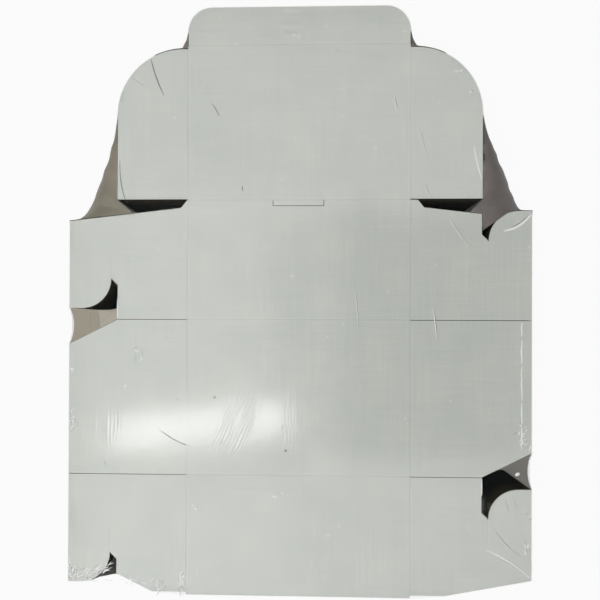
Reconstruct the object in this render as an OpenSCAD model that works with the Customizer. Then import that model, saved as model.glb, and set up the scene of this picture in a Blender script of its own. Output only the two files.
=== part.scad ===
// A shrink-wrapped pack of flat cake boxes, each one die-cut blank of white board.
// The pack lies on its back face: +Z is up, +Y points to the tuck flap of the lid.

/* [Box] */
// Width of the box, along the fold between lid and tuck flap
box_w = 215; // [190:1:240]
// Depth of the box, from front wall to rear wall
box_d = 150; // [130:1:158]
// Height of the walls
box_h = 115.5; // [112:0.5:135]
// Length of the tuck flap at the front of the lid
tuck_len = 37; // [28:1:50]
// Radius of the tuck flap's corners
tuck_r = 23; // [10:1:26]
// Width of the wings that the lid tucks in at each side
wing_w = 68.5; // [50:0.5:80]

/* [Board] */
// Thickness of the board
board_t = 0.58; // [0.4:0.02:0.8]
// Width of a knife cut between two flaps
knife_w = 0.6; // [0.3:0.1:1]
// Width of a pressed score line
score_w = 1.4; // [0.8:0.1:2]
// Width of a score line's flat foot
score_foot = 0.5; // [0.2:0.1:0.7]
// Depth of a pressed score line
score_t = 0.16; // [0.06:0.02:0.2]

/* [Flaps] */
// How much shorter a side flap is than the wall's height
flap_fit = 0.5; // [0:0.5:2]
// Rise of a side flap's slanted corner
flap_slant = 23.5; // [12:0.5:35]
// Straight part of a wing's front edge, before its round corner
wing_flat = 5; // [3:1:14]
// Set back of a wing from the tuck flap's fold
wing_back = 3; // [1:0.5:5]
// Set back of a wing from the lid's rear fold
wing_gap = 1.1; // [0.5:0.1:2]
// Set back of the tuck flap at each side
tuck_in = 0.4; // [0:0.1:2]
// Width of the stop tab that is slit at the lid's rear fold
stop_w = 49; // [30:1:70]
// Depth of the stop tab
stop_d = 5.3; // [3:0.1:8]

/* [Locking ears] */
// Radius of a hook's round shoulder
hook_r = 28.5; // [20:0.5:30]
// Set back of a hook's end from the wall's edge
hook_back = 11; // [6:0.5:16]
// Width of the slot beside a hook
slot_w = 6.5; // [4:0.5:9]
// Slanted lead at the foot of the slot
slot_lead = 6; // [3:0.5:9]
// How far short of the middle of the side wall a hook stops
hook_fit = 0.7; // [0.2:0.1:2]
// Length of the score at the foot of a hook
hook_score = 22; // [10:1:30]
// Drop of a rear ear below the lid's rear fold
rear_drop = 7.4; // [4:0.2:12]
// Run of that drop, along the fold
rear_run = 6; // [3:0.5:10]
// Fall of a rear ear's free edge, for each unit of its length
rear_fall = 0.115; // [0.05:0.005:0.16]
// Where the drop starts on the ear at the right
root_right = 7; // [4:0.5:12]
// Where the drop starts on the ear at the left
root_left = 0.4; // [0.2:0.1:3]
// Set back of a front ear's free edge
front_back = 2.5; // [1:0.5:5]
// Straight part of a front ear's free edge
front_flat = 33; // [20:1:45]
// Rise of the left front ear's free edge at its slot
front_rise_left = 19.4; // [12:0.2:22]
// Rise of the right front ear's free edge at its end
front_rise_right = 18.3; // [10:0.1:24]

/* [Pack] */
// Air between one blank and the next
air_t = 0.02; // [0.01:0.01:0.05]
// Blanks in each bundle between the top blank and the bottom one
per_bundle = 2; // [1:1:3]
// Largest sideways offset of a blank in the stack
shuffle = 0.25; // [0:0.05:0.5]

/* [Film] */
// Thickness of the film's wall, with its overlap at the seam
film_t = 0.3; // [0.2:0.05:0.6]
// Room between the film and the blanks' edges
film_gap = 0.3; // [0.2:0.1:1]
// How much further the film stands out at half the pack's height
film_swell = 0.3; // [0:0.1:1]
// How fast the film's webs spread from the top edge, lower is faster
web_pinch = 0.75; // [0.5:0.05:1]
// Outward bow of the film's web at mid height, from the right ear to its wing
web_bow_right = 3.5; // [1:0.5:6]
// Inward bow of the film's web at mid height, from the left ear to its wing
web_bow_left = 1.5; // [0.5:0.5:6]
// How far above the ears the film's web meets a wing
web_rise = 80; // [60:1:82]
// Where the film crosses from a wing's corner to the ear below, counted back along the ear
web_cross = 12.2; // [6:0.2:20]
// Where the film crosses the slot of the right rear ear, counted down from the lid's fold
web_slot = 30.2; // [22:0.2:32]
// Part of a wing's round corner that the film's web to the tuck flap takes, in degrees
tuck_web_a = 23.5; // [15:0.5:35]
// Inward bow of the film's web from a wing to the tuck flap
tuck_web_bow = 3; // [1:0.5:5]
// Depth of the film's dip over the right side notch
dip_right = 3; // [1:0.5:5]
// Depth of the film's dip over the left side notch
dip_left = 4; // [1:0.5:5]
// Depth of both dips at half the pack's height
dip_mid = 0.8; // [0.2:0.1:1]
// Diameter of a vent hole, which lets air out while the film shrinks
vent_d = 2; // [1:0.5:4]
// Distance between the columns of vent holes
vent_pitch = 36; // [30:0.5:40]
// Distance between the rows of vent holes
vent_row = 21.8; // [18:0.2:26]

/* [Hidden] */
bundles = 49;
bundle_names = [for (i = [1:bundles]) str("blanks_", i < 10 ? "0" : "", i)];

// Fold lines, counted along the blank from the front wall's free edge
base_y = box_h;
rear_y = base_y + box_d;
lid_y = rear_y + box_h;
tuck_y = lid_y + box_d;
blank_len = tuck_y + tuck_len;

// Lengths across the blank, counted from the middle or from a side fold
half_w = box_w / 2;
reach = box_h - flap_fit;
hook_u = box_d / 2 - hook_fit;
slot_u = hook_u - slot_w;
hook_v = hook_back + hook_r;
wing_r = wing_w - wing_flat;
cut = knife_w / 2;

// The stack and the film round it
blanks = 2 + bundles * per_bundle;
pitch = board_t + air_t;
stack_t = (blanks - 1) * pitch + board_t;
cavity = film_gap + shuffle;
pack_h = stack_t + 2 * film_t;
over = 1;

function flip(points) = [for (i = [len(points) - 1:-1:0]) points[i]];

// A rear ear's free edge, from the side fold out to the distance end
function rear_edge(root, end) = [
    [0, 0],
    [root, 0],
    [root + rear_run, rear_drop],
    [end, rear_drop + (end - root - rear_run) * rear_fall]
];

// A front ear's free edge, from the side fold out to the distance end
function front_edge(end, rise) = [[0, front_back], [front_flat, front_back], [end, rise]];

// What an ear or flap keeps clear of the cut beside it
function cut_edge(end) = [[0, cut], [end, cut]];

// The same edge seen from the far side of a wall that is wall wide
function across(points, wall) = [for (p = points) [p[0], wall - p[1]]];

// What is cut off a square corner at the origin to round it
module corner(r) {
    difference() {
        translate([-over, -over]) square(r + over);
        translate([r, r]) circle(r, $fn = 96);
    }
}

// An ear: u runs out from the side fold, v runs in from the edge with the notch
module ear(near, far) {
    difference() {
        polygon(concat(near, [
            [slot_u, hook_v - slot_lead],
            [hook_u, hook_v],
            [hook_u, hook_back],
            [reach, hook_back]
        ], flip(far)));
        translate([hook_u, hook_back]) corner(hook_r);
    }
}

module side_flap() {
    polygon([
        [0, cut],
        [slot_u, cut],
        [reach, cut + flap_slant],
        [reach, box_d - cut],
        [0, box_d - cut]
    ]);
}

module wing() {
    front = box_d - wing_back;
    difference() {
        translate([0, wing_gap]) square([wing_w, front - wing_gap]);
        translate([wing_w, front]) mirror([1, 1]) mirror([1, -1]) corner(wing_r);
    }
}

module tuck_flap(side, len, r) {
    difference() {
        translate([-side, 0]) square([2 * side, len]);
        translate([-side, len]) mirror([0, 1]) corner(r);
        translate([side, len]) mirror([1, 1]) mirror([1, -1]) corner(r);
    }
}

module stop_slit() {
    difference() {
        translate([-stop_w / 2 - cut, -stop_d - cut]) square([stop_w + knife_w, stop_d + cut]);
        translate([-stop_w / 2 + cut, -stop_d + cut]) square([stop_w - knife_w, stop_d]);
    }
}

// The flat shape of one blank, with the right half's flaps and then the left half's
module blank_plan() {
    difference() {
        union() {
            translate([-half_w, 0]) square([box_w, tuck_y]);
            translate([0, tuck_y]) tuck_flap(half_w - tuck_in, tuck_len, tuck_r);
            for (side = [0, 1]) mirror([side, 0]) translate([half_w, lid_y]) wing();
            translate([half_w, lid_y]) mirror([0, 1])
                ear(rear_edge(root_right, slot_u), across(cut_edge(reach), box_h));
            translate([half_w, base_y]) side_flap();
            translate([half_w, base_y]) mirror([0, 1])
                ear(cut_edge(slot_u), across(front_edge(reach, front_rise_right), box_h));
            translate([-half_w, rear_y]) mirror([1, 0])
                ear(cut_edge(slot_u), across(rear_edge(root_left, reach), box_h));
            translate([-half_w, rear_y]) rotate(180) side_flap();
            translate([-half_w, 0]) mirror([1, 0])
                ear(front_edge(slot_u, front_rise_left), across(cut_edge(reach), box_h));
        }
        translate([0, lid_y]) stop_slit();
    }
}

// One score line along +X from the origin, a groove with slanted walls
module score(len) {
    translate([0, 0, board_t]) rotate([90, 0, 90]) linear_extrude(len) polygon([
        [-score_w / 2, 0],
        [-score_foot / 2, -score_t],
        [score_foot / 2, -score_t],
        [score_w / 2, 0],
        [score_w / 2, over],
        [-score_w / 2, over]
    ]);
}

module scores() {
    stop_end = stop_w / 2 + cut;
    for (y = [base_y, rear_y, tuck_y]) translate([-half_w, y, 0]) score(box_w);
    for (side = [0, 1]) mirror([side, 0, 0]) {
        translate([stop_end, lid_y, 0]) score(half_w - stop_end);
        translate([half_w, 0, 0]) rotate(90) score(tuck_y - wing_back);
    }
    translate([half_w + hook_u, lid_y - hook_v, 0]) rotate(-90) score(hook_score);
    translate([half_w + hook_u, base_y - hook_v, 0]) rotate(-90) score(hook_score);
    translate([-half_w - hook_u, rear_y + hook_v, 0]) rotate(90) score(hook_score);
    translate([-half_w - hook_u, hook_v, 0]) rotate(90) score(hook_score);
}

// Blank number k, counted from the bottom of the stack, lies a little off the others
module blank(k) {
    turn = k * 137;
    translate([shuffle * cos(turn), shuffle * sin(turn) - blank_len / 2, film_t + k * pitch])
        difference() {
            linear_extrude(board_t) blank_plan();
            scores();
        }
}

module bottom_blank() {
    color("gainsboro") blank(0);
}

module bundle(i) {
    color("gainsboro") for (k = [1 + i * per_bundle:(i + 1) * per_bundle]) blank(k);
}

module top_blank() {
    color("whitesmoke") blank(blanks - 1);
}

// Points from a up to b, without b, on a circle's arc that stands sag to the right of the way.
// A lean above 1 sets them closer together near a.
function bow(a, b, sag, n, lean = 1) =
    let (
        chord = norm(b - a),
        way = (b - a) / chord,
        out = [way[1], -way[0]] * sign(sag),
        r = (chord * chord / 4 + sag * sag) / (2 * abs(sag)),
        mid = (a + b) / 2 + out * (abs(sag) - r),
        half = acos(1 - abs(sag) / r)
    )
    [for (i = [0:n - 1])
        let (t = half * (2 * pow(i / n, lean) - 1))
        mid + r * (out * cos(t) + way * sin(t))
    ];

// Points from a up to b, without b, on a straight line
function straight(a, b, n) = [for (i = [0:n - 1]) a + (b - a) * i / n];

// Points on a round corner, without its last one
function round_corner(mid, r, from, to, n) =
    [for (i = [0:n - 1]) let (t = from + (to - from) * i / n) mid + r * [cos(t), sin(t)]];

// A rear ear's free edge at the distance u from the side fold
function rear_fall_at(root, u) = rear_drop + (u - root - rear_run) * rear_fall;

// Where the film that comes down from a wing's corner meets the ear's free edge
function cross_point(root, g) =
    [half_w + wing_w - web_cross + 2.4 * g, lid_y - rear_fall_at(root, wing_w - web_cross) + g];

// The film round a wing and the tuck flap, from the top of the ear's web to the pack's end.
// Share is how far it has spread from the tight line on the top blank to the wide one at mid height.
function film_lid(g, share) =
    let (
        swell = film_swell * share,
        wing_mid = [half_w + wing_w - wing_r, tuck_y - wing_back - wing_r],
        wing_out = wing_r + g,
        tuck_side = half_w - tuck_in + g,
        turn = 90 - tuck_web_a,
        leave = wing_mid + wing_out * [cos(turn), sin(turn)],
        corner = [tuck_side, tuck_y - wing_back + g],
        tuck_mid = [half_w - tuck_in - tuck_r, blank_len - tuck_r],
        foot = [tuck_side, tuck_mid[1]],
        tight = concat(
            round_corner(wing_mid, wing_out, turn, 90, 3),
            straight([wing_mid[0], corner[1]], corner, 1),
            straight(corner, foot, 3)
        ),
        wide = bow(leave + [0, film_swell], foot + [film_swell, 0], -tuck_web_bow, len(tight))
    )
    concat(
        round_corner(wing_mid, wing_out + swell, 0, turn, 8),
        blend(tight, wide, share),
        round_corner(tuck_mid, tuck_r + g + swell, 0, 90, 6),
        [[tuck_mid[0], blank_len + g + swell]]
    );

// Points that lie the given share of the way from one list to the other
function blend(from, to, share) = [for (i = [0:len(from) - 1]) from[i] + (to[i] - from[i]) * share];

// The film's web from an ear's outer corner, round the gap's tight line, to the wing
function film_web(g, share, tight, bow_mid, lean) =
    let (
        ends = [tight[0] + [film_swell, 0], [half_w + wing_w + g + film_swell, lid_y + web_rise]],
        wide = bow(ends[0], ends[1], bow_mid, len(tight), lean)
    )
    blend(tight, wide, share);

// The film over the mouth of a side notch, from low up to high
function film_mouth(g, share, low, high, dip) =
    let (x = half_w + reach + g)
    blend(
        bow([x, low], [x, high], -dip, 6),
        bow([x + film_swell, low], [x + film_swell, high], -dip_mid, 6),
        share
    );

// The film round the right half of the pack, from its front edge to its far end
function film_right(g, share) =
    let (
        side = half_w + reach + g,
        swell = film_swell * share,
        hook_mid = [half_w + hook_u + hook_r, lid_y - hook_v],
        hook_leave = hook_mid + (hook_r + g) * [cos(132), sin(132)],
        in_slot = [half_w + slot_u + g, lid_y - web_slot + 2.1 * g],
        ear_end = [half_w + slot_u + g, lid_y - rear_fall_at(root_right, slot_u) + g],
        ear_cross = cross_point(root_right, g),
        wing_low = [half_w + wing_w + g, lid_y + wing_gap - g],
        tight = concat(
            straight([side, lid_y - hook_back + g], hook_mid + [0, hook_r + g], 2),
            round_corner(hook_mid, hook_r + g, 90, 132, 4),
            straight(hook_leave, in_slot, 2),
            straight(in_slot, ear_end, 2),
            straight(ear_end, ear_cross, 2),
            straight(ear_cross, wing_low, 2),
            straight(wing_low, [wing_low[0], tuck_y - wing_back - wing_r], 8)
        )
    )
    concat(
        [
            [half_w, -g - swell],
            [half_w + front_flat, front_back - g - swell],
            [side + swell, front_rise_right - g - swell]
        ],
        film_mouth(g, share, base_y - hook_back, base_y + flap_slant, dip_right),
        [[side + swell, base_y + flap_slant]],
        film_web(g, share, tight, web_bow_right, 1.5),
        film_lid(g, share)
    );

// The film round the left half, drawn as seen in a mirror
function film_left(g, share) =
    let (
        side = half_w + reach + g,
        swell = film_swell * share,
        pocket_end = half_w + hook_u + hook_r,
        ear_cross = cross_point(root_left, g),
        wing_low = [half_w + wing_w + g, lid_y + wing_gap - g],
        tight = concat(
            straight([side, lid_y - rear_fall_at(root_left, reach) + g], ear_cross, 7),
            straight(ear_cross, wing_low, 2),
            straight(wing_low, [wing_low[0], tuck_y - wing_back - wing_r], 8)
        )
    )
    concat(
        [
            [half_w, -g - swell],
            [half_w + front_flat, front_back - g - swell],
            [half_w + slot_u, front_rise_left - g - swell],
            [pocket_end - hook_r * 0.66, hook_back + 5.6 - g - swell],
            [pocket_end - hook_r * 0.3, hook_back + 0.6 - g - swell],
            [side + swell, hook_back - g - swell]
        ],
        film_mouth(g, share, rear_y - flap_slant, rear_y + hook_back, dip_left),
        [[side + swell, rear_y + hook_back]],
        film_web(g, share, tight, -web_bow_left, 1.6),
        film_lid(g, share)
    );

// The film's whole outline, counter-clockwise, at the distance g outside the blanks
function film_outline(g, share) =
    concat(film_right(g, share), [for (p = flip(film_left(g, share))) [-p[0], p[1]]]);

// Twice the area of the triangle a, b, c, positive where it turns left
function turn_left(a, b, c) = (b[0] - a[0]) * (c[1] - a[1]) - (b[1] - a[1]) * (c[0] - a[0]);

// True where corner k of the outline can be cut off: it turns left and no other point lies in it
function can_cut(points, ring, k) =
    let (
        n = len(ring),
        before = (k + n - 1) % n,
        after = (k + 1) % n,
        a = points[ring[before]],
        b = points[ring[k]],
        c = points[ring[after]]
    )
    turn_left(a, b, c) > 0.001 && len([
        for (j = [0:n - 1])
            let (p = points[ring[j]])
            if (j != before && j != k && j != after
                && turn_left(a, b, p) >= 0 && turn_left(b, c, p) >= 0 && turn_left(c, a, p) >= 0) j
    ]) == 0;

function first_cut(points, ring, k = 0) = can_cut(points, ring, k) ? k : first_cut(points, ring, k + 1);

// Triangles that fill a flat outline, made by cutting off one corner after the other
function filled(points, ring, done = []) =
    len(ring) < 4 ? concat(done, [ring]) :
    let (n = len(ring), k = first_cut(points, ring))
    filled(
        points,
        [for (j = [0:n - 1]) if (j != k) ring[j]],
        concat(done, [[ring[(k + n - 1) % n], ring[k], ring[(k + 1) % n]]])
    );

// A closed bag lofted through the film's outlines, from height foot up to height head
module film_bag(g, foot, head) {
    turns = [0, 30, 60, 90, 120, 150, 180];
    rings = [for (t = turns)
        [for (p = film_outline(g, pow(sin(t), web_pinch))) [p[0], p[1], film_height(t, foot, head)]]
    ];
    n = len(rings[0]);
    last = len(turns) - 1;
    flat = filled(rings[0], [for (i = [0:n - 1]) i]);
    sides = [for (k = [0:last - 1], i = [0:n - 1])
        let (j = (i + 1) % n)
        each [
            [k * n + i, (k + 1) * n + i, (k + 1) * n + j],
            [k * n + i, (k + 1) * n + j, k * n + j]
        ]
    ];
    polyhedron([for (ring = rings) each ring], concat(
        flat,
        sides,
        [for (f = flat) [for (i = flip(f)) last * n + i]]
    ), convexity = 10);
}

// Height of the film's outline at a turn from 0 at the foot to 180 at the head
function film_height(turn, foot, head) =
    let (half = (head - foot) / 2)
    turn <= 90 ? foot + half * (1 - cos(turn)) : head - half * (1 + cos(turn));

// Vent holes through the film's top: two rows of five, and two more holes in a third row.
// The film has pulled the outer columns towards the pack's front.
module vents() {
    first = [-113, 166.2];
    pull = [[-6, -3.3], [0, 0], [0, 0], [0, 0], [-10, -11.6]];
    for (row = [-1:1], col = [0:4]) if (row < 1 || (col > 0 && col < 3)) {
        way = [(col - 1) * vent_pitch - row * 3.5, (col - 1) * 2.2 + row * vent_row];
        translate([each (first + way + pull[col]), pack_h - film_t - over])
            cylinder(h = film_t + 2 * over, d = vent_d, $fn = 24);
    }
}

module shrink_film() {
    color("lightsteelblue", 0.4) translate([0, -blank_len / 2, 0]) difference() {
        film_bag(cavity + film_t, 0, pack_h);
        film_bag(cavity, film_t, film_t + stack_t);
        vents();
    }
}

shrink_film();
top_blank();
for (i = [0:bundles - 1]) bundle(i);
bottom_blank();
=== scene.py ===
# %% [markdown]
# # A shrink-wrapped pack of flat cake boxes
# One hundred die-cut blanks of white folding boxboard lie in a stack, and clear shrink film holds them.
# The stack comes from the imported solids. This notebook gives the board its finish, and models the film,
# which is the soft part of the pack: it hugs the straight edges and spans the gaps between the flaps.

import math
from random import Random

import bmesh
import bpy
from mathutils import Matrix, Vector, noise
from mathutils.geometry import interpolate_bezier


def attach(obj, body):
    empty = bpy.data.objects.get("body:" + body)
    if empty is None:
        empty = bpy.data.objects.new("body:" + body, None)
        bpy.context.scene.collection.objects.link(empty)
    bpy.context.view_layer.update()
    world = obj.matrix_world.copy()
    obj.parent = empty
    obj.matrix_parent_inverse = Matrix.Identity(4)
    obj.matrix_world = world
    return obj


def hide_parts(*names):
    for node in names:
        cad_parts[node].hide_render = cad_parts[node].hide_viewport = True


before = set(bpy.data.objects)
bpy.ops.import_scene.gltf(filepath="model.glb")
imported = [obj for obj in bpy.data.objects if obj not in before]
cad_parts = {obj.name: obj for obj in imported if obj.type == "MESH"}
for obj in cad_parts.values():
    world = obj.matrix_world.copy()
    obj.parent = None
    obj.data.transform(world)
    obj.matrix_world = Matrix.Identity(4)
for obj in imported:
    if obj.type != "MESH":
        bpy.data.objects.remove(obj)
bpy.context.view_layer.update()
print("solids in the frame:", len(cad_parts))

# %% [markdown]
# Drawings of the blank are in millimetres and Blender works in metres, so one factor turns one into
# the other. A colour is written as a picture editor shows it, and Blender's sockets take linear light.

# %% Units and colour
mm = 0.001


def shade(hex_colour, alpha=1.0):
    """Turns an sRGB hex colour into the linear colour that a socket takes."""
    parts = [int(hex_colour[i : i + 2], 16) / 255 for i in (1, 3, 5)]
    linear = [c / 12.92 if c <= 0.04045 else ((c + 0.055) / 1.055) ** 2.4 for c in parts]
    return (*linear, alpha)


# %% [markdown]
# A blank lies with its base panel near the middle. Its folds across are half_w from the middle, and its
# folds along are at the y values here, from the front wall's edge up to the tuck flap's edge.

# %% Where the blank's folds lie
half_w, reach = 107.5, 115.0
side_x = half_w + reach
front_y, base_y, rear_y, lid_y, tuck_y, end_y = -284.0, -168.5, -18.5, 97.0, 247.0, 284.0

# %% [markdown]
# The picture was taken from almost straight above, with the camera near the middle of the stack.
# The lens sits 440 mm over the top blank, turned by about one degree. That small turn makes the right
# side of the pack a little larger than the left, as in the photograph.

# %% Camera
top_of_stack = 60.58
lens_height = 440

camera_data = bpy.data.cameras.new("lens")
camera_data.lens = 27.43
camera_data.sensor_width = 36
camera_data.shift_x = 0.0174
camera_data.shift_y = 0.0387
camera_data.clip_start = 0.01
camera = bpy.data.objects.new("camera", camera_data)
camera.location = (1.85 * mm, -23.55 * mm, (top_of_stack + lens_height) * mm)
camera.rotation_euler = [math.radians(a) for a in (0.217, 1.31, 0.205)]
bpy.context.collection.objects.link(camera)
bpy.context.scene.camera = camera

# %% [markdown]
# One helper adds a node with its links and values, one starts a material, and one turns a mesh under
# construction into a piece of the pack.

# %% Small helpers for nodes and pieces
def add(tree, kind, links=None, values=None, **settings):
    """Adds one node with its settings, its fixed values and what is linked into it."""
    made = tree.nodes.new(kind)
    for name, value in settings.items():
        setattr(made, name, value)
    for socket, value in (values or {}).items():
        made.inputs[socket].default_value = value
    for socket, source in (links or {}).items():
        tree.links.new(source, made.inputs[socket])
    return made


def blank_material(name):
    """A new material with an empty node tree and its output node."""
    material = bpy.data.materials.new(name)
    material.use_nodes = True
    material.node_tree.nodes.clear()
    return material, material.node_tree, material.node_tree.nodes.new("ShaderNodeOutputMaterial")


def piece_from(bm, name, material, smooth=True):
    """Turns a bmesh into a piece of the pack, at the origin, that rides on the stack."""
    mesh = bpy.data.meshes.new(name)
    bm.to_mesh(mesh)
    bm.free()
    for face in mesh.polygons:
        face.use_smooth = smooth
    mesh.materials.append(material)
    piece = bpy.data.objects.new(name, mesh)
    bpy.context.collection.objects.link(piece)
    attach(piece, "root")
    print(name, "has", len(mesh.polygons), "faces")
    return piece


# %% [markdown]
# A plain pale floor carries the pack. It is white where the camera looks at it, and keeps the soft shadow.

# %% Floor
floor_material, tree, output = blank_material("white_studio_floor")
ray = add(tree, "ShaderNodeLightPath")
seen = add(tree, "ShaderNodeMath", {0: ray.outputs["Is Camera Ray"], 1: ray.outputs["Is Glossy Ray"]},
           operation="MAXIMUM")
seen = add(tree, "ShaderNodeMath", {0: seen.outputs[0], 1: ray.outputs["Is Transmission Ray"]},
           operation="MAXIMUM")
glow = add(tree, "ShaderNodeMath", {0: seen.outputs[0]}, {1: 0.94}, operation="MULTIPLY")
paint = add(tree, "ShaderNodeBsdfDiffuse", values={"Color": shade("#B4B3B0")})
shine = add(tree, "ShaderNodeEmission", values={"Color": shade("#FFFFFF"), "Strength": 1.0})
mixed = add(tree, "ShaderNodeMixShader",
            {0: glow.outputs[0], 1: paint.outputs[0], 2: shine.outputs[0]})
tree.links.new(mixed.outputs[0], output.inputs["Surface"])

bm = bmesh.new()
bmesh.ops.create_grid(bm, x_segments=1, y_segments=1, size=6)
bmesh.ops.translate(bm, verts=bm.verts, vec=(0, 0, -0.6 * mm))
floor_mesh = bpy.data.meshes.new("floor")
bm.to_mesh(floor_mesh)
bm.free()
floor_mesh.materials.append(floor_material)
floor = bpy.data.objects.new("floor", floor_mesh)
bpy.context.collection.objects.link(floor)

# %% [markdown]
# One long lamp hangs over the left front of the pack. Flat clear film mirrors it as the bright band.
# Pale ceiling panels are mirrored more faintly, and between them is a dark part over the camera. The film
# shows it as the greyer zone right of the middle. Soft boxes outside give the rest.

# %% Lights
def soft_box(name, place, target, size, size_y, power):
    """An area light at place that looks at target, all in millimetres."""
    data = bpy.data.lights.new(name, "AREA")
    data.shape = "RECTANGLE"
    data.size = size * mm
    data.size_y = size_y * mm
    data.energy = power
    box = bpy.data.objects.new(name, data)
    box.location = [c * mm for c in place]
    aim = Vector(target) - Vector(place)
    box.rotation_euler = aim.to_track_quat("-Z", "Y").to_euler()
    bpy.context.collection.objects.link(box)
    return box


lamp = soft_box("long_lamp", (-425, -456, 1560), (-425, -456, 0), 780, 150, 2.8)
lamp.rotation_euler.z += math.radians(6)
for name, place, size, size_y, power in (
    ("ceiling_rear", (0, 872, 1570), 1960, 835, 7.2),
    ("ceiling_left", (-548, -80, 1580), 863, 1160, 5.3),
    ("ceiling_middle", (32, -80, 1580), 298, 1160, 0.9),
    ("ceiling_front", (-480, -1020, 1570), 1000, 700, 4.5),
    ("ceiling_corner", (560, -932, 1570), 1060, 695, 3.6),
    ("ceiling_right", (960, -30, 1570), 360, 1040, 0.3),
):
    straight_below = (*place[:2], 0)
    soft_box(name, place, straight_below, size, size_y, power)

pack_middle = (0, 0, 30)
for name, place, size, size_y, power in (
    ("box_left", (-1500, -150, 1150), 1100, 1100, 8),
    ("box_right", (1700, 100, 1350), 1100, 1100, 1.6),
    ("box_rear", (0, 1700, 1350), 1300, 900, 1.8),
    ("box_front", (0, -1700, 1350), 1300, 900, 1.8),
):
    soft_box(name, place, pack_middle, size, size_y, power)

world = bpy.data.worlds.new("studio")
world.use_nodes = True
world.node_tree.nodes["Background"].inputs["Color"].default_value = shade("#F4F6F8")
world.node_tree.nodes["Background"].inputs["Strength"].default_value = 0.085
bpy.context.scene.world = world
bpy.context.scene.view_settings.view_transform = "Standard"

# %% [markdown]
# Folding boxboard is a grey-white pulp core with a smooth white clay coat on its face. The coat is nearly
# matt and shows the faint ribs of the felt that dried it, in both directions. Dust under the film shows
# as pale flecks. A knife cut shows the core, which is greyer and browner than the coat. In the deep
# notches the cut edges are painted nearly black, darkest at the bottom: that is painted shade. The heights
# lowest_cut and highest_cut bound the cut edges, as only the outermost two faces of the stack lie beyond
# them.

# %% Boxboard
board, tree, output = blank_material("white_folding_boxboard")
place = add(tree, "ShaderNodeTexCoord")
cloudy = add(tree, "ShaderNodeTexNoise", {"Vector": place.outputs["Object"]},
             {"Scale": 22.0, "Detail": 3.0, "Roughness": 0.55})
tint = add(tree, "ShaderNodeValToRGB", {"Fac": cloudy.outputs["Fac"]})
tint.color_ramp.elements[0].position = 0.3
tint.color_ramp.elements[0].color = shade("#C3C7C1")
tint.color_ramp.elements[1].position = 0.7
tint.color_ramp.elements[1].color = shade("#CACDC5")

ribs = []
for stretch in ((1 / 1.5, 1 / 60, 1), (1 / 60, 1 / 1.5, 1)):
    turned = add(tree, "ShaderNodeMapping", {"Vector": place.outputs["Object"]},
                 {"Scale": [s / mm for s in stretch]})
    ribs.append(add(tree, "ShaderNodeTexNoise", {"Vector": turned.outputs[0]},
                    {"Scale": 1.0, "Detail": 2.0, "Roughness": 0.6}))
linen = add(tree, "ShaderNodeMath", {0: ribs[0].outputs["Fac"], 1: ribs[1].outputs["Fac"]},
            operation="ADD")
line_tone = add(tree, "ShaderNodeMapRange", {"Value": linen.outputs[0]},
                {"From Min": 0.7, "From Max": 1.3, "To Min": 0.955, "To Max": 1.035})
toned = add(tree, "ShaderNodeVectorMath", {0: tint.outputs["Color"], 1: line_tone.outputs[0]},
            operation="MULTIPLY")

# %% Painted shade and highlight along the folds
spot = add(tree, "ShaderNodeSeparateXYZ", {0: place.outputs["Object"]})
aside = add(tree, "ShaderNodeMath", {0: spot.outputs["X"]}, operation="ABSOLUTE")
nearest = add(tree, "ShaderNodeMath", {0: aside.outputs[0]}, {1: half_w * mm}, operation="SUBTRACT")
nearest = add(tree, "ShaderNodeMath", {0: nearest.outputs[0]}, operation="ABSOLUTE")
for fold_y in (base_y, rear_y, lid_y, tuck_y):
    away = add(tree, "ShaderNodeMath", {0: spot.outputs["Y"]}, {1: fold_y * mm}, operation="SUBTRACT")
    away = add(tree, "ShaderNodeMath", {0: away.outputs[0]}, operation="ABSOLUTE")
    nearest = add(tree, "ShaderNodeMath", {0: nearest.outputs[0], 1: away.outputs[0]}, operation="MINIMUM")
share_off = add(tree, "ShaderNodeMapRange", {"Value": nearest.outputs[0]}, {"From Max": 2.5 * mm})
# Each fold gets a darker line with a lighter band beside it: painted groove shade and a painted highlight.
painted_fold_shade = add(tree, "ShaderNodeValToRGB", {"Fac": share_off.outputs[0]})
painted_fold_shade.color_ramp.elements[0].position = 0.12
painted_fold_shade.color_ramp.elements[0].color = (0.93, 0.93, 0.93, 1)
painted_fold_shade.color_ramp.elements[1].position = 0.95
painted_fold_shade.color_ramp.elements[1].color = (1, 1, 1, 1)
painted_fold_highlight = painted_fold_shade.color_ramp.elements.new(0.42)
painted_fold_highlight.color = (1.05, 1.05, 1.05, 1)
with_painted_fold_lines = add(tree, "ShaderNodeVectorMath", {0: toned.outputs[0], 1: painted_fold_shade.outputs["Color"]},
             operation="MULTIPLY")

# %% Flecks of dust, the cut edges, and painted shade in the notches
cells = add(tree, "ShaderNodeTexVoronoi", {"Vector": place.outputs["Object"]},
            {"Scale": 1 / (15 * mm), "Randomness": 1.0})
near = add(tree, "ShaderNodeMapRange", {"Value": cells.outputs["Distance"]},
           {"From Min": 0.045, "From Max": 0.11, "To Min": 1.0, "To Max": 0.0})
chosen = add(tree, "ShaderNodeSeparateColor", {"Color": cells.outputs["Color"]})
some = add(tree, "ShaderNodeMath", {0: chosen.outputs[0]}, {1: 0.62}, operation="GREATER_THAN")
fleck = add(tree, "ShaderNodeMath", {0: near.outputs[0], 1: some.outputs[0]}, operation="MULTIPLY")
fleck = add(tree, "ShaderNodeMath", {0: fleck.outputs[0]}, {1: 0.45}, operation="MULTIPLY")
dusted = add(tree, "ShaderNodeMix", {0: fleck.outputs[0], 6: with_painted_fold_lines.outputs[0]},
             {7: shade("#E6E7E4")}, data_type="RGBA")

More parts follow.
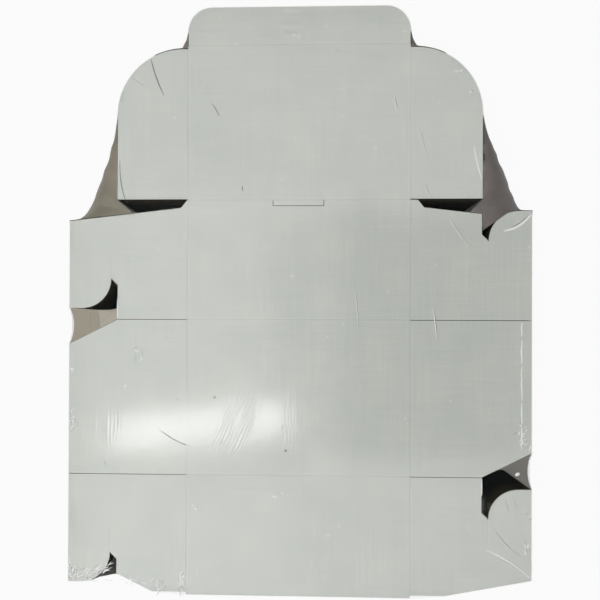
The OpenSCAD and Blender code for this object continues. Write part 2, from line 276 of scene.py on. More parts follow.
lowest_cut, highest_cut = 0.35, 60.0
notch_x, notch_low_y, notch_high_y = side_x - 1, front_y + 22.15, lid_y + 1.15
notch_middle_y, notch_half_y = (notch_low_y + notch_high_y) / 2, (notch_high_y - notch_low_y) / 2
above = add(tree, "ShaderNodeMath", {0: spot.outputs["Z"]}, {1: lowest_cut * mm}, operation="GREATER_THAN")
below = add(tree, "ShaderNodeMath", {0: spot.outputs["Z"]}, {1: highest_cut * mm}, operation="LESS_THAN")
cut = add(tree, "ShaderNodeMath", {0: above.outputs[0], 1: below.outputs[0]}, operation="MULTIPLY")
fibres = add(tree, "ShaderNodeTexNoise", {"Vector": place.outputs["Object"]},
             {"Scale": 900.0, "Detail": 3.0})
core = add(tree, "ShaderNodeValToRGB", {"Fac": fibres.outputs["Fac"]})
core.color_ramp.elements[0].position = 0.35
core.color_ramp.elements[0].color = shade("#6E695C")
core.color_ramp.elements[1].position = 0.7
core.color_ramp.elements[1].color = shade("#9A978B")
# Inside the notches the cut edges get a near-black colour that lightens towards the top: painted shade.
shaded_notch = add(tree, "ShaderNodeMath", {0: aside.outputs[0]}, {1: notch_x * mm}, operation="LESS_THAN")
off = add(tree, "ShaderNodeMath", {0: spot.outputs["Y"]}, {1: notch_middle_y * mm}, operation="SUBTRACT")
off = add(tree, "ShaderNodeMath", {0: off.outputs[0]}, operation="ABSOLUTE")
middle = add(tree, "ShaderNodeMath", {0: off.outputs[0]}, {1: notch_half_y * mm}, operation="LESS_THAN")
shaded_notch = add(tree, "ShaderNodeMath", {0: shaded_notch.outputs[0], 1: middle.outputs[0]}, operation="MULTIPLY")
shade_lifts_to_top = add(tree, "ShaderNodeMapRange", {"Value": spot.outputs["Z"]},
               {"From Min": 40 * mm, "From Max": 60 * mm, "To Min": 0.0, "To Max": 1.0})
painted_notch_shade = add(tree, "ShaderNodeMix", {0: shade_lifts_to_top.outputs[0]},
           {6: shade("#0E1211"), 7: shade("#332D20")}, data_type="RGBA")
cut_edge_and_notch_shade = add(tree, "ShaderNodeMix",
                {0: shaded_notch.outputs[0], 6: core.outputs["Color"], 7: painted_notch_shade.outputs[2]}, data_type="RGBA")
surface = add(tree, "ShaderNodeMix",
              {0: cut.outputs[0], 6: dusted.outputs[2], 7: cut_edge_and_notch_shade.outputs[2]}, data_type="RGBA")
bump = add(tree, "ShaderNodeBump", {"Height": linen.outputs[0]},
           {"Strength": 0.25, "Distance": 0.02 * mm})
clay_gloss = add(tree, "ShaderNodeMapRange", {"Value": cut.outputs[0]},
                 {"From Min": 0.0, "From Max": 1.0, "To Min": 0.3, "To Max": 0.0})
coat = add(tree, "ShaderNodeBsdfPrincipled",
           {"Base Color": surface.outputs[2], "Normal": bump.outputs[0],
            "Specular IOR Level": clay_gloss.outputs[0]},
           {"Roughness": 0.6, "IOR": 1.5})
tree.links.new(coat.outputs[0], output.inputs["Surface"])

for name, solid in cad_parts.items():
    if name != "shrink_film":
        solid.data.materials.clear()
        solid.data.materials.append(board)

# %% [markdown]
# The film is one soft bag. Seen from above it has two outlines. The tight one is where the film turns over
# the edge of the top blank. The wide one is where it stands furthest out, at half the stack's height.
# Along a straight edge they are the same line, and across a gap between two flaps the film is pulled in at
# the top and bottom and stays nearly straight at mid height, so it makes a saddle.

# %% Lines that the film follows
stand_off = 0.4


def arc(a, b, sag, steps, lean=1.0):
    """Points from a up to b, without b, on a circle's arc that stands sag to the right of the way."""
    a, b = Vector(a), Vector(b)
    if abs(sag) < 1e-6:
        return [a.lerp(b, (i / steps) ** lean) for i in range(steps)]
    chord = (b - a).length
    way = (b - a) / chord
    out = Vector((way.y, -way.x)) * math.copysign(1, sag)
    radius = (chord * chord / 4 + sag * sag) / (2 * abs(sag))
    centre = (a + b) / 2 + out * (abs(sag) - radius)
    half = math.acos(max(-1.0, 1 - abs(sag) / radius))
    turns = [half * (2 * (i / steps) ** lean - 1) for i in range(steps)]
    return [centre + out * radius * math.cos(t) + way * radius * math.sin(t) for t in turns]


def hug(lines, keys, out=0.25):
    """Film that lies tight on the board's edge. Keys are x, y, sag and steps, and lead to the next key."""
    for (x, y, sag, steps), after in zip(keys, keys[1:]):
        for point in arc((x, y), after[:2], sag, steps):
            lines.append((point, None, 0.0, out))


def span(lines, keys, start, end, sag, lean=1.0, haze=1.0):
    """Film over a gap: the tight line goes round by the keys, the wide line goes straight across."""
    tight = []
    for (x, y, bulge, steps), after in zip(keys, keys[1:]):
        tight += arc((x, y), after[:2], bulge, steps)
    wide = arc(start, end, sag, len(tight), lean)
    for t, w in zip(tight, wide):
        lines.append((t, w, haze, 0.25))


# %% The right half, from the front wall up to the tuck flap
right_half = []
edge = side_x + stand_off
hug(right_half, [
    (half_w, front_y - stand_off, 0, 6),
    (half_w + 33, front_y + 2.1, 0, 16),
    (edge, front_y + 17.9, 0, 18),
    (edge, base_y - 11, 0, 1),
])
span(right_half, [(edge, base_y - 11, -3.0, 12), (edge, base_y + 23.5, 0, 1)],
     (edge + 0.3, base_y - 11), (edge + 0.3, base_y + 23.5), -0.8, haze=0.15)
hug(right_half, [(edge, base_y + 23.5, 0, 40), (edge, lid_y - 10.6, 0, 1)])
span(right_half, [
    (edge, lid_y - 10.6, 0, 3),
    (210.3, lid_y - 10.6, 2.2, 6),
    (190.9, 78.8, 0, 5),
    (175.7, 66.8, 0, 4),
    (175.7, 83.6, 0, 4),
    (163.8, 85.0, 0, 5),
    (176.4, 97.7, 0, 26),
    (176.4, 180.5, 0, 1),
], (edge + 0.3, lid_y - 10.6), (176.9, 177.0), 3.5, 1.5)
wing_centre, wing_radius = (112.5, 180.5), 63.9
split = math.radians(66.5)
joint = (wing_centre[0] + wing_radius * math.cos(split), wing_centre[1] + wing_radius * math.sin(split))
hug(right_half, [
    (176.4, 180.5, wing_radius * (1 - math.cos(split / 2)), 16),
    (*joint, 0, 1),
])
span(right_half, [
    (*joint, 1.35, 6),
    (112.5, 244.4, 0, 2),
    (107.9, 244.4, 0, 6),
    (107.5, 261.4, 0, 1),
], (joint[0] + 0.2, joint[1] + 0.3), (107.8, 261.4), -3.0, haze=1.4)
hug(right_half, [
    (107.5, 261.4, 23.4 * (1 - math.cos(math.pi / 4)), 10),
    (84.1, end_y + stand_off, 0, 1),
])

# %% The left half, drawn as seen in a mirror
left_half = []
hug(left_half, [
    (half_w, front_y - stand_off, 0, 6),
    (half_w + 33, front_y + 2.1, 0, 16),
    (half_w + 67.8, front_y + 19.0, 0, 1),
])
span(left_half, [
    (half_w + 67.8, front_y + 19.0, 0, 6),
    (half_w + 84.0, front_y + 16.2, 0, 4),
    (half_w + 94.0, front_y + 11.2, 0, 1),
], (half_w + 68.2, front_y + 17.0), (half_w + 94.0, front_y + 10.8), 0)
hug(left_half, [
    (half_w + 94.0, front_y + 11.2, 0, 5),
    (edge, front_y + 10.6, 0, 44),
    (edge, rear_y - 23.5, 0, 1),
])
span(left_half, [(edge, rear_y - 23.5, -4.0, 12), (edge, rear_y + 11, 0, 1)],
     (edge + 0.3, rear_y - 23.5), (edge + 0.3, rear_y + 11), -0.8, haze=0.15)
hug(left_half, [(edge, rear_y + 11, 0, 18), (edge, 77.5, 0, 1)])
span(left_half, [
    (edge, 77.5, 0, 18),
    (160.8, 84.7, 0, 5),
    (176.4, 97.7, 0, 26),
    (176.4, 180.5, 0, 1),
], (edge + 0.3, 77.5), (176.9, 177.0), -1.5, 1.6)
hug(left_half, [
    (176.4, 180.5, wing_radius * (1 - math.cos(split / 2)), 16),
    (*joint, 0, 1),
])
span(left_half, [
    (*joint, 1.35, 6),
    (112.5, 244.4, 0, 2),
    (107.9, 244.4, 0, 6),
    (107.5, 261.4, 0, 1),
], (joint[0] + 0.2, joint[1] + 0.3), (107.8, 261.4), -3.0, haze=1.4)
hug(left_half, [
    (107.5, 261.4, 23.4 * (1 - math.cos(math.pi / 4)), 10),
    (84.1, end_y + stand_off, 0, 1),
])

# %% Join the halves into one closed outline
outline = []
hug(outline, [(-half_w, front_y - stand_off, 0, 40), (half_w, front_y - stand_off, 0, 1)])
outline += right_half
hug(outline, [(84.1, end_y + stand_off, 0, 30), (-84.1, end_y + stand_off, 0, 1)])
mirrored = [(Vector((-t.x, t.y)), None if w is None else Vector((-w.x, w.y)), h, o)
            for t, w, h, o in left_half]
outline.append((Vector((-84.1, end_y + stand_off)), None, 0.0, 0.25))
outline += mirrored[:0:-1]
print("points in the film's outline:", len(outline))

# %% [markdown]
# Through the notches one sees the brown table that the real pack lies on, so the ground inside the
# outline is brown. Two tabs carry it on past the notches at the sides, where the camera looks out under
# the film. Elsewhere the floor stays white, as the photograph has no background.

# %% Ground under the pack
table_material, tree, output = blank_material("brown_table")
ray = add(tree, "ShaderNodeLightPath")
dimmed = add(tree, "ShaderNodeMath",
             {0: ray.outputs["Is Camera Ray"], 1: ray.outputs["Is Transmission Ray"]},
             operation="MAXIMUM")
# The table glows for the camera at a set strength, which is painted light, and its colour darkens to the
# right: painted shade.
painted_table_glow = add(tree, "ShaderNodeMath", {0: dimmed.outputs[0]}, {1: 0.75}, operation="MULTIPLY")
paint = add(tree, "ShaderNodeBsdfDiffuse", values={"Color": shade("#8F897A")})
ground_spot = add(tree, "ShaderNodeSeparateXYZ", {0: add(tree, "ShaderNodeTexCoord").outputs["Object"]})
shade_to_right = add(tree, "ShaderNodeMapRange", {"Value": ground_spot.outputs["X"]},
               {"From Min": -200 * mm, "From Max": 200 * mm, "To Min": 0.0, "To Max": 1.0})
table_colour_with_painted_shade = add(tree, "ShaderNodeMix", {0: shade_to_right.outputs[0]},
            {6: shade("#ADA697"), 7: shade("#7A7874")}, data_type="RGBA")
shine = add(tree, "ShaderNodeEmission", {"Color": table_colour_with_painted_shade.outputs[2]}, {"Strength": 1.0})
mixed = add(tree, "ShaderNodeMixShader",
            {0: painted_table_glow.outputs[0], 1: paint.outputs[0], 2: shine.outputs[0]})
tree.links.new(mixed.outputs[0], output.inputs["Surface"])

ground_z, tab_z = -0.3, -0.35
tab_from, tab_to, tab_bow = 214, 253, 4.5
bm = bmesh.new()
bm.faces.new([bm.verts.new(Vector((*point[0], ground_z)) * mm) for point in outline])
for side, low, high in ((-1, -44.5, -5.3), (1, -200.8, -161.6)):
    bow = [(p.x, p.y) for p in arc((side * tab_to, low), (side * tab_to, high), -tab_bow * side, 12)]
    corners = [(side * tab_from, low), *bow, (side * tab_to, high), (side * tab_from, high)]
    bm.faces.new([bm.verts.new(Vector((*corner, tab_z)) * mm) for corner in corners])
bmesh.ops.recalc_face_normals(bm, faces=bm.faces)
table_mesh = bpy.data.meshes.new("table_under_pack")
bm.to_mesh(table_mesh)
bm.free()
table_mesh.materials.append(table_material)
table = bpy.data.objects.new("table_under_pack", table_mesh)
bpy.context.collection.objects.link(table)

# %% [markdown]
# The film is polyolefin, blown thin and clear, then shrunk in hot air until it is tight. Flat film is a
# weak mirror: it lets almost all light through and mirrors a twentieth of it, and more at a low angle.
# Where it gathers in a gap it has shrunk most, and is thicker and hazy. The haze is painted grey-brown,
# darker to the right: painted shade of the table seen through the film. So the material is a gloss
# mixed with clear, and an attribute of the mesh says where the haze is.

# %% Film
def film_material(name, colours, cover, roughness, fixed=True):
    """Clear gloss with a haze over it. A fixed haze is everywhere, else the mesh says where it is."""
    film, tree, output = blank_material(name)
    place = add(tree, "ShaderNodeTexCoord")
    slant = add(tree, "ShaderNodeLayerWeight", values={"Blend": 0.5})
    rise = add(tree, "ShaderNodeMath", {0: slant.outputs["Facing"]}, {1: 5.0}, operation="POWER")
    if fixed:
        mirror = add(tree, "ShaderNodeMath", {0: rise.outputs[0]}, {1: 0.95, 2: 0.05},
                     operation="MULTIPLY_ADD")
    else:
        # Over a gap the mirror drops to almost nothing: painted shade in place of a sagging film.
        sag = add(tree, "ShaderNodeAttribute", attribute_name="sag").outputs["Fac"]
        least = add(tree, "ShaderNodeMath", {0: sag}, {1: -0.046, 2: 0.05}, operation="MULTIPLY_ADD")
        mirror = add(tree, "ShaderNodeMath", {0: rise.outputs[0], 2: least.outputs[0]}, {1: 0.95},
                     operation="MULTIPLY_ADD")
    milky = add(tree, "ShaderNodeTexNoise", {"Vector": place.outputs["Object"]},
                {"Scale": 60.0, "Detail": 3.0, "Roughness": 0.6})
    cloud = add(tree, "ShaderNodeValToRGB", {"Fac": milky.outputs["Fac"]})
    cloud.color_ramp.elements[0].position = 0.3
    cloud.color_ramp.elements[0].color = shade(colours[0])
    cloud.color_ramp.elements[1].position = 0.7
    cloud.color_ramp.elements[1].color = shade(colours[1])
    stretch = add(tree, "ShaderNodeMapping", {"Vector": place.outputs["Object"]},
                  {"Scale": (420.0, 60.0, 420.0)})
    streaks = add(tree, "ShaderNodeTexNoise", {"Vector": stretch.outputs[0]},
                  {"Scale": 1.0, "Detail": 3.0, "Roughness": 0.55})
    bump = add(tree, "ShaderNodeBump", {"Height": streaks.outputs["Fac"]},
               {"Strength": 1.0, "Distance": 0.05 * mm})
    gloss = add(tree, "ShaderNodeBsdfPrincipled",
                {"Base Color": cloud.outputs["Color"], "Normal": bump.outputs[0]},
                {"Roughness": roughness, "IOR": 1.5})
    if fixed:
        shown = add(tree, "ShaderNodeMath", {0: mirror.outputs[0]}, {1: cover}, operation="MAXIMUM")
    else:
        haze = add(tree, "ShaderNodeAttribute", attribute_name="haze").outputs["Fac"]
        amount = add(tree, "ShaderNodeMath", {0: haze}, {1: cover}, operation="MULTIPLY")
        shown = add(tree, "ShaderNodeMath", {0: mirror.outputs[0], 1: amount.outputs[0]},
                    operation="MAXIMUM")
        spot = add(tree, "ShaderNodeSeparateXYZ", {0: place.outputs["Object"]})
        aside = add(tree, "ShaderNodeMapRange", {"Value": spot.outputs["X"]},
                    {"From Min": -0.1, "From Max": 0.1, "To Min": 0.0, "To Max": 1.0})
        # Painted shade: the haze's grey-brown runs darker from left to right.
        painted_left_to_right_shade = add(tree, "ShaderNodeMix", {0: aside.outputs[0]},
                   {6: shade("#8A8474"), 7: shade("#79736F")}, data_type="RGBA")
        haze_with_painted_shade = add(tree, "ShaderNodeVectorMath", {0: painted_left_to_right_shade.outputs[2], 1: cloud.outputs["Color"]},
                   operation="MULTIPLY")
        tint = add(tree, "ShaderNodeMix", {0: haze, 7: haze_with_painted_shade.outputs[0]},
                   {6: shade("#FFFFFF")}, data_type="RGBA")
        metal = add(tree, "ShaderNodeMath", {1: haze}, {0: 1.0}, operation="SUBTRACT")
        blur = add(tree, "ShaderNodeMath", {0: haze}, {1: 0.36, 2: roughness}, operation="MULTIPLY_ADD")
        tree.links.new(tint.outputs[2], gloss.inputs["Base Color"])
        tree.links.new(metal.outputs[0], gloss.inputs["Metallic"])
        tree.links.new(blur.outputs[0], gloss.inputs["Roughness"])
    through = add(tree, "ShaderNodeBsdfTransparent")
    mixed = add(tree, "ShaderNodeMixShader",
                {0: shown.outputs[0], 1: through.outputs[0], 2: gloss.outputs[0]})
    tree.links.new(mixed.outputs[0], output.inputs["Surface"])
    return film


clear_film = film_material("polyolefin_shrink_film", ("#E4E4E4", "#FFFFFF"), 0.97, 0.14, fixed=False)
# White film for folds, crumples and the seam: it is whiter where creased, and its brightness is partly
# painted highlight.
creased_film_painted_highlight = film_material("creased_shrink_film_painted_highlight", ("#F4F5F3", "#FFFFFF"), 0.88, 0.3)

# %% [markdown]
# The top of the film carries its own small relief: a fan of fine wrinkles in front of the middle, upright
# ripples beside it, a bubble, and three short folds on the tuck flap. Their slopes break up what the film
# mirrors, so they are real shape, made by moving the vertices of a finely cut sheet.

# %% Relief of the flat film
def window(value, reach_of, soft=0.4):
    """1 inside plus or minus reach_of, fading to 0 at its end."""
    edge = 1 - min(1.0, abs(value) / reach_of)
    return min(1.0, edge / soft) ** 2 * (3 - 2 * min(1.0, edge / soft))


fan_centre, fan_lean = Vector((-57.0, -116.0)), math.radians(22)
fan_way = Vector((math.sin(fan_lean), math.cos(fan_lean)))
fan_across = Vector((fan_way.y, -fan_way.x))


def relief(x, y):
    """Height in mm of the film's wrinkles over a point of the top."""
    p = Vector((x, y, 0))
    height = 0.06 * noise.noise(p / 45) + 0.02 * noise.noise(p / 14)
    v = (Vector((x, y)) - fan_centre).dot(fan_way)
    u = (Vector((x, y)) - fan_centre).dot(fan_across) + v * v / 420
    fan = window(u, 21) * window(v, 60, 0.6)
    if fan > 0:
        wave = u / 2.9 + 0.9 * noise.noise(Vector((u / 9, v / 30, 3)))
        height += 0.07 * fan * math.sin(2 * math.pi * wave)
    for middle, half_width, low, high, depth in ((-7, 9, -163, -66, 0.05), (-178, 10, -166, -76, 0.04)):
        strip = window(x - middle, half_width) * window(y - (low + high) / 2, (high - low) / 2)
        if strip > 0:
            height += depth * strip * math.sin(2 * math.pi * (x / 3.3 + noise.noise(p / 25)))
    bubble = Vector((x + 155.2, (y + 51.5) * 0.72))
    size = 3.6 + 0.7 * noise.noise(Vector((math.atan2(bubble.y, bubble.x), 0, 7)) * 1.3)
    height += 0.75 * math.exp(-(((bubble.length - size) / 1.3) ** 2))
    for middle_x, middle_y, long, wide, tall in ((-8, 281.2, 9, 1.4, 0.5), (-8, 265.9, 10, 2.0, 0.9),
                                                 (-8, 257.2, 7, 1.6, 0.7)):
        height += tall * window(x - middle_x, long, 0.8) * math.exp(-(((y - middle_y) / wide) ** 2))
    return height


# %% [markdown]
# The skin starts as the tight outline on top. Extruding its edges ring by ring takes it out to the wide
# outline and back under the stack. Closing both ends makes it one bag, and planes cut the top into a grid.
# Over a gap the real film sags a little and turns its mirror away from the lamps, but this top is not
# sunk there. A ray cast down on the top blank finds the points over a gap, and the attribute sag takes
# the mirror away there: painted shade in place of the turned mirror.

# %% Skin of film
film_top, film_foot = 60.5, 0.1
half_height = (film_top - film_foot) / 2
turns = [math.radians(t) for t in (0, 0.15, 5, 15, 30, 45, 60, 75, 90)]
rings_each = len(turns) - 1


def outward(i):
    """The direction out of the pack at one point of the outline."""
    before, after = outline[i - 1][0], outline[(i + 1) % len(outline)][0]
    way = (after - before).normalized()
    return Vector((way.y, -way.x))


def skin_point(i, ring):
    """Where point i of the outline lies on one ring, counted from the top."""
    tight, wide, haze, out = outline[i]
    if wide is None:
        wide = tight + outward(i) * out
    turn = turns[min(ring, 2 * rings_each - ring)]
    share = math.sin(turn) ** 0.75
    at = tight.lerp(wide, share)
    drop = half_height * (1 - math.cos(turn))
    height = film_top - drop if ring <= rings_each else film_foot + drop
    if haze > 0 and share > 0:
        pleat = noise.noise(Vector((at.x / 9, at.y / 9, height / 40)))
        at += (wide - tight).normalized() * 1.2 * pleat * haze * min(1.0, (wide - tight).length / 12)
    return Vector((at.x, at.y, height)) * mm


bm = bmesh.new()
step_of = bm.verts.layers.int.new("step")
haze_of = bm.verts.layers.float.new("haze")
sag_of = bm.verts.layers.float.new("sag")
is_top = bm.faces.layers.int.new("top")
top_ring = []
for i in range(len(outline)):
    corner = bm.verts.new(skin_point(i, 0))
    corner[step_of] = i
    top_ring.append(corner)
edges = [bm.edges.new((a, b)) for a, b in zip(top_ring, top_ring[1:] + top_ring[:1])]
top_edges = list(edges)
for ring in range(1, 2 * rings_each + 1):
    made = bmesh.ops.extrude_edge_only(bm, edges=edges)["geom"]
    edges = [e for e in made if isinstance(e, bmesh.types.BMEdge)
             and all(v in made for v in e.verts)]
    for corner in (v for v in made if isinstance(v, bmesh.types.BMVert)):
        corner.co = skin_point(corner[step_of], ring)
        corner[haze_of] = outline[corner[step_of]][2] if ring < 2 * rings_each else 0.0
bmesh.ops.edgeloop_fill(bm, edges=edges)
top_faces = bmesh.ops.edgeloop_fill(bm, edges=top_edges)["faces"]
print("skin before the cuts:", len(bm.faces), "faces")

# %% Cuts across the top
for face in top_faces:
    face[is_top] = 1


def slice_top(normal, offsets, inside=None):
    """Cuts the top's faces by planes at the offsets along normal, where inside says so."""
    normal = Vector((*normal, 0)).normalized()
    for offset in offsets:
        faces = []
        for face in bm.faces:
            if face[is_top] and (inside is None or inside(face.calc_center_median() / mm)):
                sides = [v.co.dot(normal) / mm - offset for v in face.verts]
                if min(sides) < -1e-4 and max(sides) > 1e-4:
                    faces.append(face)
        geom = faces + list({e for f in faces for e in f.edges}) + list({v for f in faces for v in f.verts})
        if faces:
            bmesh.ops.bisect_plane(bm, geom=geom, dist=1e-7, plane_co=normal * offset * mm, plane_no=normal)


slice_top((1, 0), [6 * i + 0.13 for i in range(-37, 38)])
slice_top((0, 1), [6 * i + 0.17 for i in range(-47, 48)])
for face in bm.faces:
    face.smooth = True
for edge_of in bm.edges:
    kinds = [f[is_top] for f in edge_of.link_faces]
    if sorted(kinds) == [0, 1] and all(v[haze_of] == 0 for v in edge_of.verts):
        edge_of.smooth = False


def box_of(x0, x1, y0, y1):
    """A test for faces whose middle lies in the box."""
    return lambda c: x0 < c.x < x1 and y0 < c.y < y1


def in_fan(c):
    """A test for faces in the fan of wrinkles."""
    p = Vector((c.x, c.y)) - fan_centre
    return abs(p.dot(fan_across)) < 26 and abs(p.dot(fan_way)) < 64


fan_offset = fan_centre.dot(fan_across)
slice_top(fan_across, [fan_offset + 0.72 * i for i in range(-33, 34)], in_fan)
for low, high in ((-16.5, 2.5), (-188.5, -167.5)):
    count = int((high - low) / 0.85)
    slice_top((1, 0), [low + 0.85 * i for i in range(count)], box_of(low, high, -168, -62))
for box, spacing in (((-164, -146, -62, -41), 0.8), ((-20, 4, 251, 284.2), 0.9)):
    test = box_of(*box)
    slice_top((1, 0), [box[0] + spacing * i for i in range(int((box[1] - box[0]) / spacing))], test)
    slice_top((0, 1), [box[2] + spacing * i for i in range(int((box[3] - box[2]) / spacing))], test)
for x0, x1, y0, y1 in ((107, 181, 84, 100), (-181, -107, 84, 100), (174, 200, 60, 84),
                       (-224, -174, -45, 12), (174, 224, -183, -138), (-204, -172, -274, -245)):
    test = box_of(x0, x1, y0, y1)
    slice_top((1, 0), [x0 + 1.5 * i for i in range(int((x1 - x0) / 1.5))], test)
    slice_top((0, 1), [y0 + 1.5 * i for i in range(int((y1 - y0) / 1.5))], test)
top_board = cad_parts["top_blank"]
over_gaps = 0
for corner in {v for f in bm.faces if f[is_top] for v in f.verts}:
    if all(f[is_top] for f in corner.link_faces):
        corner.co.z += relief(corner.co.x / mm, corner.co.y / mm) * mm
    if not top_board.ray_cast(corner.co, (0, 0, -1), distance=2 * mm)[0]:
        corner[sag_of] = 1.0
        over_gaps += 1
print("points of the film over a gap:", over_gaps)
bmesh.ops.recalc_face_normals(bm, faces=bm.faces)
film_skin = piece_from(bm, "film_skin", clear_film)
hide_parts("shrink_film")

# %% [markdown]
# Where film is pinched it keeps a fold: a low ridge, thicker and whiter than the film round it. Each side
# of a fold takes one of two finishes, listed with it: a white one, partly painted highlight, and a grey one,
# painted shade. Each fold is a narrow tent, drawn by pushing three points along a path. Tight film presses
# it down to a share of the height that it is drawn with.

# %% Folds in the film
pressed_to = 0.4
clear_of_skin = 0.05


def on_film(x, y, lift=0.0):
    """A point on the flat film, lifted a little, in metres."""
    return Vector((x, y, film_top + relief(x, y) + lift)) * mm


def fold(bm, lane, path, width, height, sides=(0, 1), wobble=0.0):
    """One low pinched fold along a path of x, y points in mm. Each side takes finish 0, white and partly
    painted highlight, or finish 1, grey and painted shade.
    """
    if len(path) == 3:
        a, b, c = (Vector((*p, 0)) for p in path)
        pull = b * 2 - (a + c) / 2
        path = [p.xy for p in interpolate_bezier(a, a.lerp(pull, 0.67), c.lerp(pull, 0.67), c, 9)]
    path = [Vector(p) for p in path]
    edges = []
    for i, p in enumerate(path):
        way = (path[min(i + 1, len(path) - 1)] - path[max(i - 1, 0)]).normalized()
        across = Vector((way.y, -way.x))
        taper = 0.15 + 0.85 * math.sin(math.pi * (i + 0.3) / (len(path) - 0.4)) ** 0.6
        shift = wobble * noise.noise(Vector((p.x, p.y, 11)) / 3)
        lifts = {-1: clear_of_skin, 0: clear_of_skin + pressed_to * height * taper, 1: clear_of_skin}
        places = [on_film(*(p + across * (shift + side * width / 2 * taper)), lifts[side]) for side in lifts]
        if i == 0:
            corners = [bm.verts.new(c) for c in places]
            for n, corner in enumerate(corners):
                corner[lane] = n
            edges = [bm.edges.new(corners[:2]), bm.edges.new(corners[1:])]
            continue
        made = bmesh.ops.extrude_edge_only(bm, edges=edges)["geom"]
        edges = [e for e in made if isinstance(e, bmesh.types.BMEdge) and all(v in made for v in e.verts)]
        for corner in (v for v in made if isinstance(v, bmesh.types.BMVert)):
            corner.co = places[corner[lane]]
        for face in (f for f in made if isinstance(f, bmesh.types.BMFace)):
            face.material_index = sides[0] if any(v[lane] == 0 for v in face.verts) else sides[1]


# A grey copy of the film for the shaded side of folds: painted shade.
painted_shade_film = film_material("painted_shade_shrink_film", ("#6A6C6A", "#858784"), 0.5, 0.25)
bm = bmesh.new()
lane = bm.verts.layers.int.new("lane")

# %% Long thin creases
# Side finishes for each fold: 0 is the white film, partly painted highlight, and 1 is the grey film, painted
# shade.
white, painted_shade_both, painted_shade_left, painted_shade_right = (0, 0), (1, 1), (1, 0), (0, 1)
for path, width, height, sides in (
    ([(-143.8, 234.3), (-138.4, 216.0), (-131.0, 199.1)], 1.3, 0.4, painted_shade_both),
    ([(-163.3, 216.9), (-156.5, 211.6), (-149.6, 207.1)], 1.1, 0.3, painted_shade_left),
    ([(-173.8, 136.2), (-172.2, 112.0), (-166.7, 94.3)], 1.0, 0.3, painted_shade_both),
    ([(-84.1, 190.1), (-80.0, 184.5), (-77.3, 178.4)], 0.9, 0.2, painted_shade_both),
    ([(-95.9, 213.4), (-96.4, 210.5), (-95.9, 207.6)], 0.7, 0.2, painted_shade_left),
    ([(-53.7, 110.5), (-54.2, 108.0), (-53.7, 105.6)], 0.9, 0.2, painted_shade_both),
    ([(92.3, 196.5), (92.9, 189.5), (95.2, 183.0)], 1.4, 0.4, painted_shade_left),
    ([(34.7, 238.4), (35.8, 241.0), (38.5, 242.2)], 0.9, 0.2, painted_shade_right),
    ([(116.2, 163.7), (120.0, 149.2), (122.9, 136.8)], 1.0, 0.3, painted_shade_left),
    ([(121.1, 112.8), (123.4, 105.5), (127.7, 99.4)], 1.0, 0.3, painted_shade_left),
    ([(143.0, 82.1), (152.5, 65.8), (163.9, 51.5)], 1.2, 0.4, painted_shade_left),
    ([(167.5, 149.0), (170.3, 132.7), (175.1, 115.5)], 1.3, 0.4, white),
    ([(128.9, -4.9), (131.3, -22.1), (132.8, -38.4)], 1.5, 0.5, painted_shade_left),
    ([(53.5, 15.0), (56.4, -4.2), (57.5, -28.2)], 1.0, 0.25, painted_shade_left),
    ([(-132.4, -126.7), (-121.2, -134.0), (-109.0, -140.0)], 0.9, 0.3, painted_shade_both),
    ([(-168.8, -85.4), (-167.4, -83.2), (-165.6, -83.0)], 1.2, 0.5, white),
    ([(-187.4, -155.8), (-186.4, -158.4), (-184.6, -160.6)], 1.3, 0.5, painted_shade_right),
    ([(179.6, -237.0), (199.0, -247.0), (220.6, -263.0)], 1.8, 0.7, white),
    ([(188.0, -217.8), (198.5, -230.5), (211.6, -242.2)], 1.2, 0.5, painted_shade_right),
    ([(189.9, -244.4), (203.2, -251.6), (215.5, -260.4)], 1.1, 0.4, painted_shade_left),
    ([(204.0, -187.3), (207.6, -193.0), (209.6, -198.6)], 0.8, 0.2, painted_shade_right),
    ([(197.4, -189.2), (199.8, -195.0), (201.2, -200.6)], 0.8, 0.2, painted_shade_right),
    ([(195.6, 66.6), (209.2, 71.4), (221.4, 82.0)], 2.6, 0.9, white),
    ([(203.0, 70.4), (210.6, 74.0), (217.6, 80.4)], 1.0, 0.3, painted_shade_both),
    ([(-201.7, -10.0), (-201.9, -20.0), (-201.7, -31.0)], 0.5, 0.1, painted_shade_both),
    # This short wide white fold paints the glint in the right notch: a painted highlight.
    ([(207.2, -166.2), (209.1, -164.9), (211.2, -164.4)], 3.4, 1.6, white),
    ([(175.4, -169.0), (175.4, -178.0), (175.4, -186.0)], 1.1, 0.2, white),
    ([(-175.5, 1.0), (-175.4, -9.0), (-175.5, -18.0)], 1.1, 0.2, white),
):
    fold(bm, lane, path, width, height, sides)
print("folds so far:", len(bm.faces), "faces")

# %% [markdown]
# Near the edges and corners the film had nowhere to go when it shrank, so it crumpled into many short
# folds that point every way. The welded seam runs down the right side as a thin fin of the white fold
# film, whose brightness is partly painted highlight.

# %% Crumples and the seam
dice = Random(5)


def crumple(middle, reach_x, reach_y, count, lean, longest, tall=0.6):
    """A patch of short folds round a point, most of them near the angle lean, in degrees."""
    for _ in range(count):
        x = middle[0] + dice.gauss(0, reach_x / 2)
        y = middle[1] + dice.gauss(0, reach_y / 2)
        x = max(-side_x + 0.6, min(side_x - 0.6, x))
        y = max(front_y + 0.6, y)
        angle = math.radians(lean + dice.gauss(0, 32))
        half = dice.uniform(0.35, 1.0) * longest / 2
        run = Vector((math.cos(angle), math.sin(angle))) * half
        bend = Vector((-run.y, run.x)) * dice.uniform(-0.35, 0.35)
        ends = [Vector((x, y)) - run, Vector((x, y)) + bend, Vector((x, y)) + run]
        for p in ends:
            p.x = max(-side_x + 0.4, min(side_x - 0.4, p.x))
        fold(bm, lane, [tuple(p) for p in ends], dice.uniform(0.7, 1.3), tall * dice.uniform(0.5, 1.2),
             dice.choice((white, white, white, painted_shade_right, painted_shade_left)))


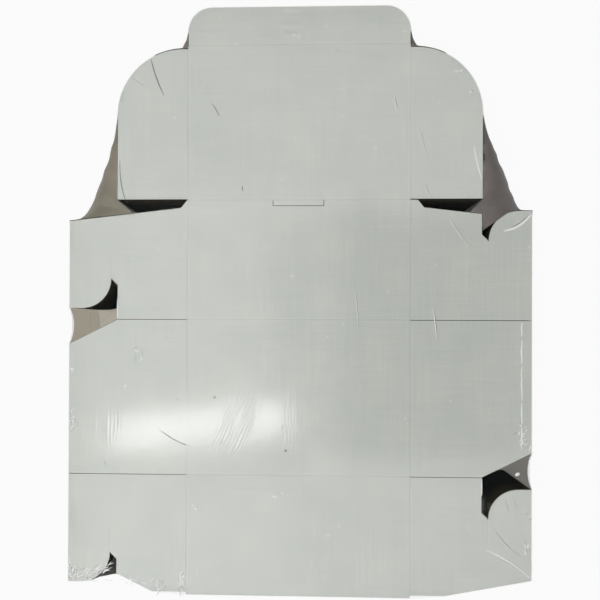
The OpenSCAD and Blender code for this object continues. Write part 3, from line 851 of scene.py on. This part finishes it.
crumple((-208, -266), 14, 6, 26, 35, 9)
crumple((-218, -262), 4, 8, 10, 60, 6)
crumple((-189, -259), 10, 5, 16, 35, 9)
crumple((-132, -275), 7, 7, 14, 50, 7)
crumple((-112, -268), 4, 14, 18, 80, 7)
crumple((-218, -120), 4, 11, 16, 70, 6)
crumple((-157, -272), 20, 2, 8, -20, 10, 0.4)
crumple((216, -137), 4, 5, 12, 60, 6, 0.8)
crumple((212, -124), 6, 14, 10, 80, 4)
crumple((218, -235), 3, 7, 10, 70, 5)
crumple((219, -206), 3, 3, 6, 20, 4)
crumple((166, 200), 3, 3, 6, 35, 5)
crumple((151, 220), 3, 3, 4, 50, 4, 0.4)
crumple((-58, -279), 4, 2, 4, 60, 4, 0.4)
crumple((-99, -200), 6, 2, 4, 10, 3, 0.3)
crumple((-21, -188), 8, 2, 4, 5, 4, 0.3)
crumple((-219, -66), 2, 4, 4, 80, 4, 0.4)
for low, high in ((-19.9, -34.0), (-37.0, -60.0), (-62.0, -95.0), (-97.0, -118.0), (-119.0, -141.6)):
    fold(bm, lane, [(213.2, low), (213.0 + dice.uniform(-0.3, 0.3), (low + high) / 2), (213.1, high)],
         1.3, 0.5, white, 0.5)
folds = piece_from(bm, "film_folds", creased_film_painted_highlight, smooth=False)
folds.data.materials.append(painted_shade_film)

# %% [markdown]
# Shrink film is pricked with rows of vent holes before it goes round the pack, so that air can leave.
# The heat draws each prick into a small round hole with a melted rim. The rows stretched with the film.

# %% Vent holes
melted_rim, tree, output = blank_material("melted_film_rim")
speck = add(tree, "ShaderNodeTexNoise",
            {"Vector": add(tree, "ShaderNodeTexCoord").outputs["Object"]}, {"Scale": 1500.0})
# The rims are painted dark grey: painted shade at each hole's edge.
painted_rim_shade = add(tree, "ShaderNodeValToRGB", {"Fac": speck.outputs["Fac"]})
painted_rim_shade.color_ramp.elements[0].color = shade("#4E504E")
painted_rim_shade.color_ramp.elements[1].color = shade("#7A7C79")
melted = add(tree, "ShaderNodeBsdfPrincipled", {"Base Color": painted_rim_shade.outputs["Color"]},
             {"Roughness": 0.35, "IOR": 1.5})
tree.links.new(melted.outputs[0], output.inputs["Surface"])

vent_places = []
pull = ((-6, -3.3), (0, 0), (0, 0), (0, 0), (-10, -11.6))
for row in (-1, 0, 1):
    for column in range(5):
        if row < 1 or column in (1, 2):
            along = column - 1
            vent_places.append((-113 + along * 36 - row * 3.5 + pull[column][0],
                                -117.8 + along * 2.2 + row * 21.8 + pull[column][1]))
bm = bmesh.new()
for i, (x, y) in enumerate(vent_places):
    size = 0.75 + 0.35 * noise.noise(Vector((x, y, 5)) / 7)
    made = bmesh.ops.create_circle(bm, cap_ends=True, segments=18, radius=size * 1.25 * mm)
    disc = [f for f in bm.faces if all(v in made["verts"] for v in f.verts)]
    inner = bmesh.ops.inset_region(bm, faces=disc, thickness=0.45 * size * mm, depth=0.25 * mm)
    hole = bmesh.ops.inset_region(bm, faces=disc, thickness=0.3 * size * mm, depth=-0.35 * mm)
    ring = {v for f in disc + inner["faces"] + hole["faces"] for v in f.verts} | set(made["verts"])
    bmesh.ops.translate(bm, verts=list(ring), vec=on_film(x, y, 0.02))
vents = piece_from(bm, "vent_rims", melted_rim)
